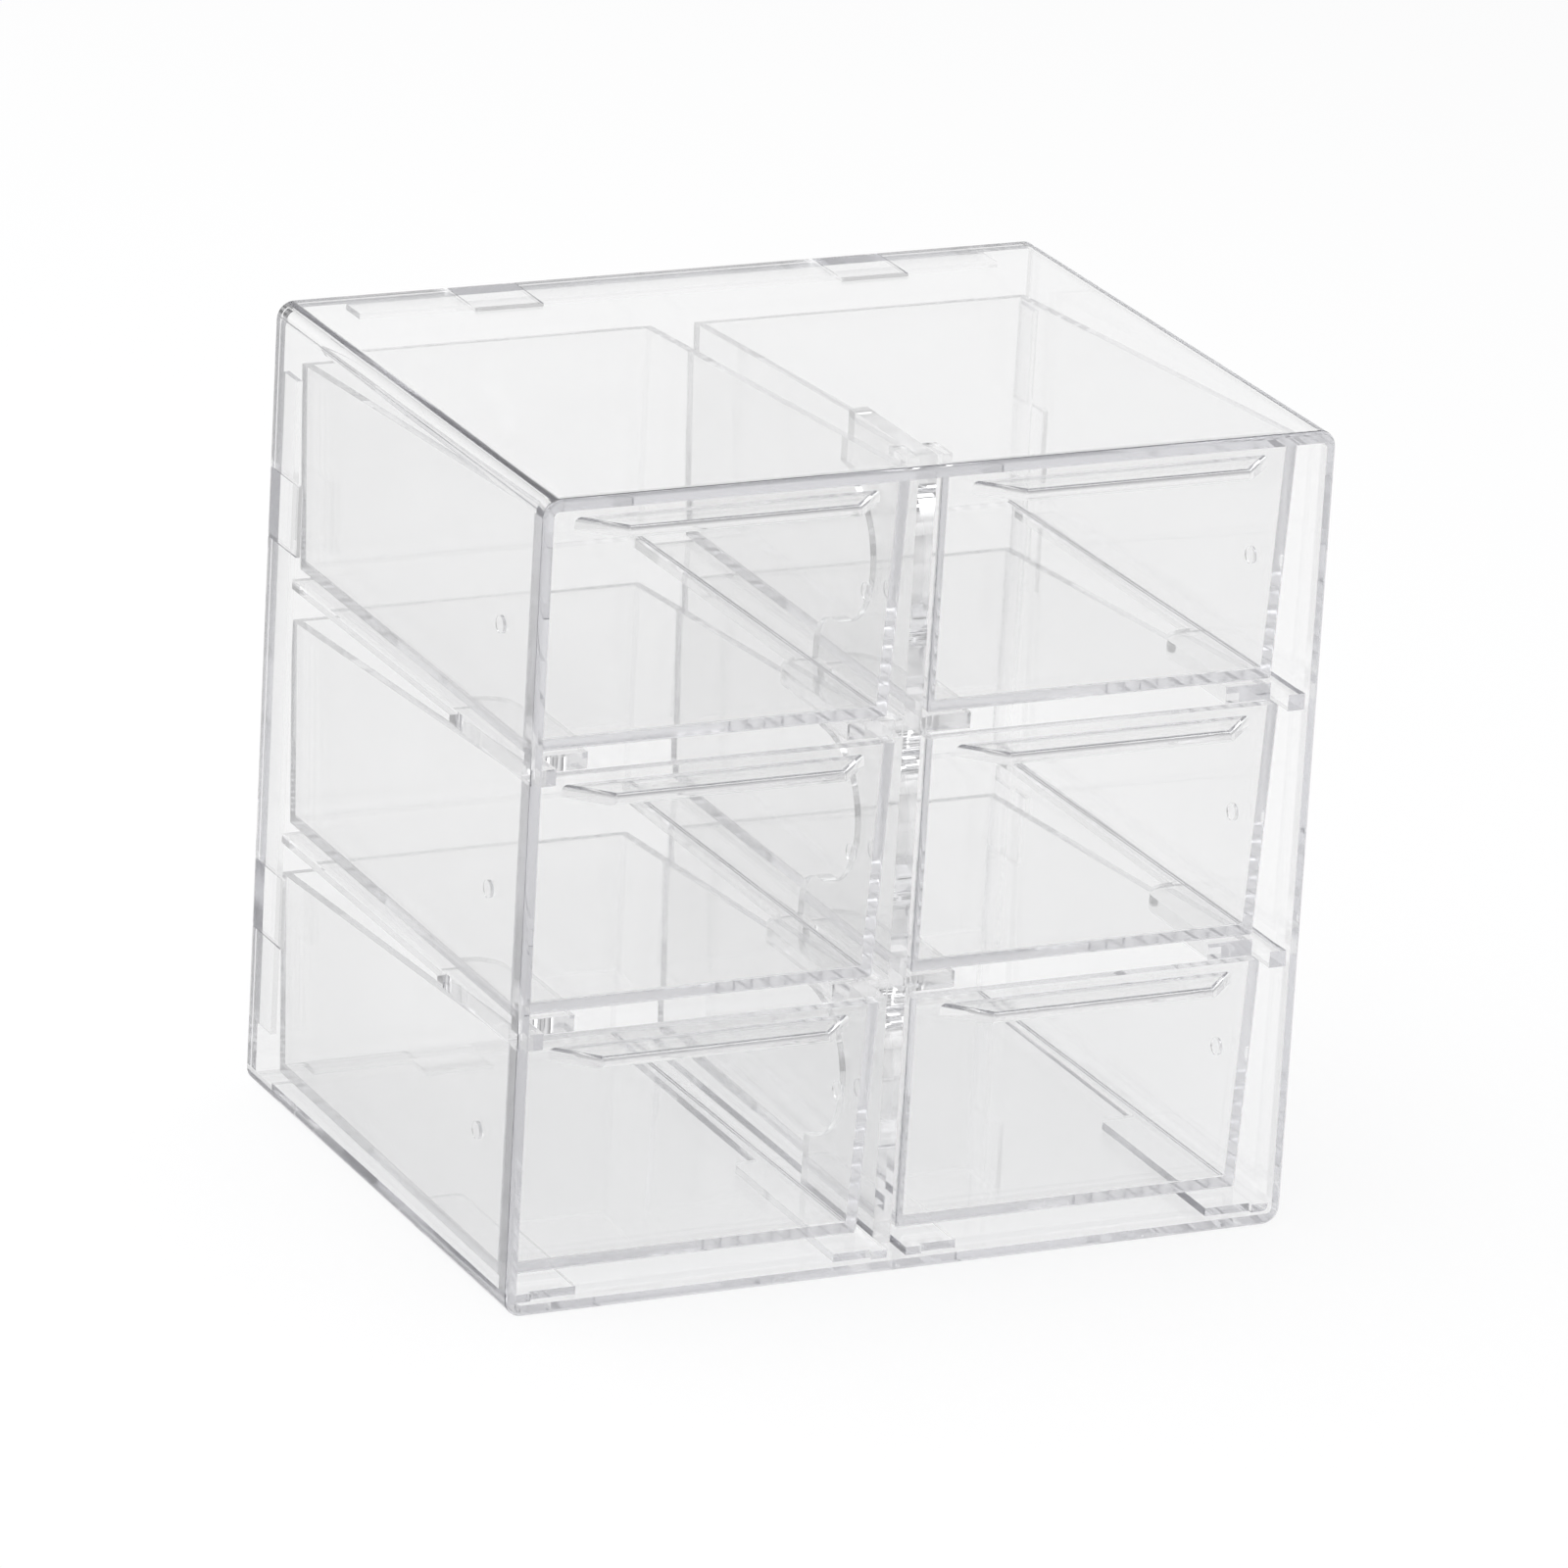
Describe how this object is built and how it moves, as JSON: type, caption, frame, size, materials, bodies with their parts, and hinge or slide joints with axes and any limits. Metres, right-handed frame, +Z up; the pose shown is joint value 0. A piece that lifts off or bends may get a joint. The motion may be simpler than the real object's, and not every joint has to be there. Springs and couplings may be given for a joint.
{
  "type": "mini drawer organizer",
  "caption": "Clear plastic desktop box with drawers in two columns: open-fronted sleeve, centre divider with rails, clip-in back cover and lipped drawers that slide out.",
  "frame": {"origin": "middle of the underside, on the surface that the box stands on", "axes": "+X to the right along the width as seen from the front, +Y from the drawer fronts to the back cover, +Z up"},
  "size_m": [0.14, 0.11, 0.138],
  "materials": {
    "clear_case": "clear, see-through, polished",
    "clear_divider": "clear, see-through, polished",
    "clear_cover": "clear, see-through, polished",
    "clear_drawer": "clear, see-through, polished"
  },
  "bodies": {
    "case": {"case_shell": "clear_case", "centre_divider": "clear_divider", "back_cover": "clear_cover"},
    "drawer_bottom_left": {"drawer_bottom_left": "clear_drawer"},
    "drawer_bottom_right": {"drawer_bottom_right": "clear_drawer"},
    "drawer_middle_left": {"drawer_middle_left": "clear_drawer"},
    "drawer_middle_right": {"drawer_middle_right": "clear_drawer"},
    "drawer_top_left": {"drawer_top_left": "clear_drawer"},
    "drawer_top_right": {"drawer_top_right": "clear_drawer"}
  },
  "joints": [
    {"name": "bottom_left_slide", "type": "slide", "parent": "case", "child": "drawer_bottom_left", "axis": [0, -1, 0], "range_m": [0, 0.07]},
    {"name": "bottom_right_slide", "type": "slide", "parent": "case", "child": "drawer_bottom_right", "axis": [0, -1, 0], "range_m": [0, 0.07]},
    {"name": "middle_left_slide", "type": "slide", "parent": "case", "child": "drawer_middle_left", "axis": [0, -1, 0], "range_m": [0, 0.07]},
    {"name": "middle_right_slide", "type": "slide", "parent": "case", "child": "drawer_middle_right", "axis": [0, -1, 0], "range_m": [0, 0.07]},
    {"name": "top_left_slide", "type": "slide", "parent": "case", "child": "drawer_top_left", "axis": [0, -1, 0], "range_m": [0, 0.07]},
    {"name": "top_right_slide", "type": "slide", "parent": "case", "child": "drawer_top_right", "axis": [0, -1, 0], "range_m": [0, 0.07]}
  ]
}
